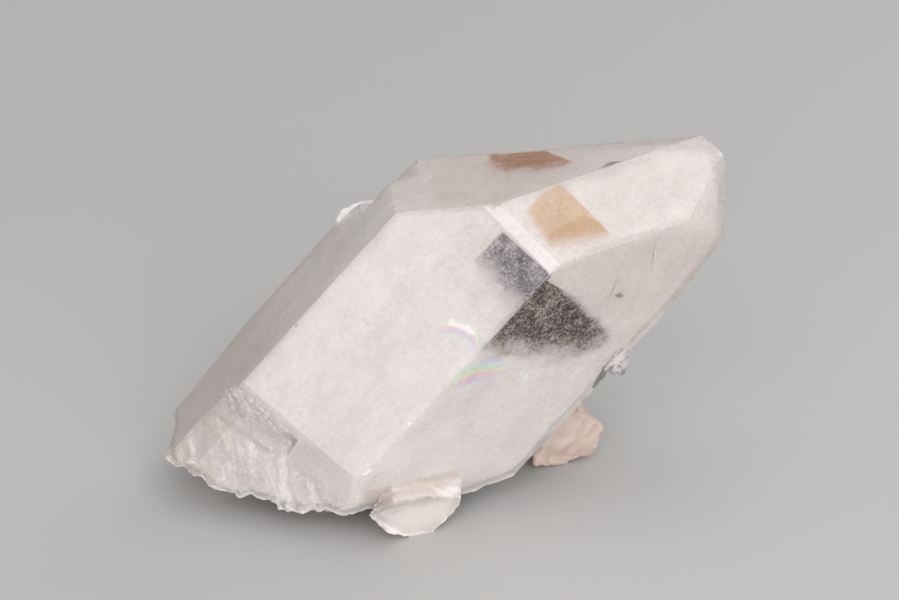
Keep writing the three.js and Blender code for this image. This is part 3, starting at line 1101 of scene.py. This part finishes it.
def quartz_material():
    shader = QuartzShader()
    shader.lay_milk()
    shader.lay_etched_floor()
    # Painted light and shade over the large faces
    for name, strength, tint in LIGHT_AND_SHADE:
        shader.lay(shader.patch(name, LIGHT_AND_SHADE_WAVER), tint, strength)
    shader.lay_frost()
    shader.lay_windows()
    shader.lay_stains_and_highlights()
    shader.lay_blooms()
    shader.lay_glints()
    shader.lay_chip()
    # A light line along the crisp edges: partly wear, partly a painted highlight
    shader.lay(shader.shown("edge_wear_and_highlight", EDGE_RANGE), EDGE_LIGHT, EDGE_STRENGTH)
    shader.lay_low_tints()
    values = {
        "Base Color": shader.colour,
        # The crescent and the coloured glints glow a little: painted highlights given as emission
        "Emission Color": shader.colour,
        "Emission Strength": shader.glow(),
        "Roughness": shader.roughness(),
        "Transmission Weight": shader.clearness(),
        "Normal": shader.relief(),
        "IOR": QUARTZ_IOR,
        "Subsurface Weight": MILK_WEIGHT,
        "Subsurface Radius": MILK_RADIUS,
        "Subsurface Scale": MILK_SCALE,
    }
    for name, value in values.items():
        shader.feed(shader.principled.inputs[name], value)
    return shader.material


def core_material():
    shader = Shader("milky_veil")
    places = shader.crystal_places()
    clouds = shader.noise(places, *CORE_CLOUDS)
    grain = shader.noise(places, *CORE_GRAIN)
    colour = shader.blend(shader.ramp(clouds, *CLOUD_RANGE), CORE_DIM, CORE_BRIGHT)
    colour = shader.blend(shader.ramp(grain, *CORE_FLECK_RANGE), colour, CORE_FLECK)
    shader.feed(shader.principled.inputs["Base Color"], colour)
    shader.feed(shader.principled.inputs["Roughness"], CORE_ROUGHNESS)
    return shader.material


# Floor, lights and camera

def floor_material():
    shader = Shader("floor_paper")
    place = shader.node("ShaderNodeTexCoord", {}).outputs["Object"]
    tone = shader.node("ShaderNodeTexNoise", {"Vector": place, **FLOOR_PATTERN}).outputs["Fac"]
    dark = tuple(FLOOR_SHADE * value for value in FLOOR_COLOUR[:3]) + (1,)
    shader.feed(shader.principled.inputs["Base Color"], shader.blend(tone, dark, FLOOR_COLOUR))
    shader.feed(shader.principled.inputs["Roughness"], FLOOR_ROUGHNESS)
    return shader.material


def floor_piece():
    bm = bmesh.new()
    bmesh.ops.create_grid(bm, x_segments=FLOOR_CELLS, y_segments=FLOOR_CELLS, size=FLOOR_SIZE / 2)
    mesh = bpy.data.meshes.new("floor")
    bm.to_mesh(mesh)
    bm.free()
    mesh.materials.append(floor_material())
    floor = bpy.data.objects.new("floor", mesh)
    bpy.context.scene.collection.objects.link(floor)


def soft_light(name, place, width, height, watts, colour):
    data = bpy.data.lights.new(name, "AREA")
    data.shape = "RECTANGLE"
    data.size = width
    data.size_y = height
    data.energy = watts
    data.color = colour
    light = bpy.data.objects.new(name, data)
    light.location = place
    light.rotation_euler = (LIGHT_AIM - Vector(place)).to_track_quat("-Z", "Y").to_euler()
    bpy.context.scene.collection.objects.link(light)


def grey_world():
    world = bpy.data.worlds.new("studio")
    world.use_nodes = True
    world.node_tree.nodes["Background"].inputs["Color"].default_value = WORLD_GREY
    bpy.context.scene.world = world


def camera():
    data = bpy.data.cameras.new("camera")
    data.lens = CAMERA_LENS
    data.sensor_width = SENSOR_WIDTH
    data.clip_start = NEAREST_SEEN
    elevation = math.radians(CAMERA_ELEVATION)
    back = Vector((0, -math.cos(elevation), math.sin(elevation)))
    seen = bpy.data.objects.new("camera", data)
    seen.location = Vector(CAMERA_AIM) + back * CAMERA_DISTANCE
    seen.rotation_euler = (math.pi / 2 - elevation, 0, 0)
    bpy.context.scene.collection.objects.link(seen)
    bpy.context.scene.camera = seen


TURN = crystal_turn()
solid = merged_solid(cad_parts["quartz_point"])
CENTRE = crystal_centre(solid)
crystal = crystal_piece(solid)
core = core_piece(solid)
solid.free()
crystal.data.materials.append(quartz_material())
core.data.materials.append(core_material())
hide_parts("quartz_point")
for piece in (crystal, core):
    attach(piece, "root")

floor_piece()
for name, settings in LIGHTS.items():
    soft_light(name, *settings)
bpy.context.scene.view_settings.view_transform = "Standard"
grey_world()
camera()
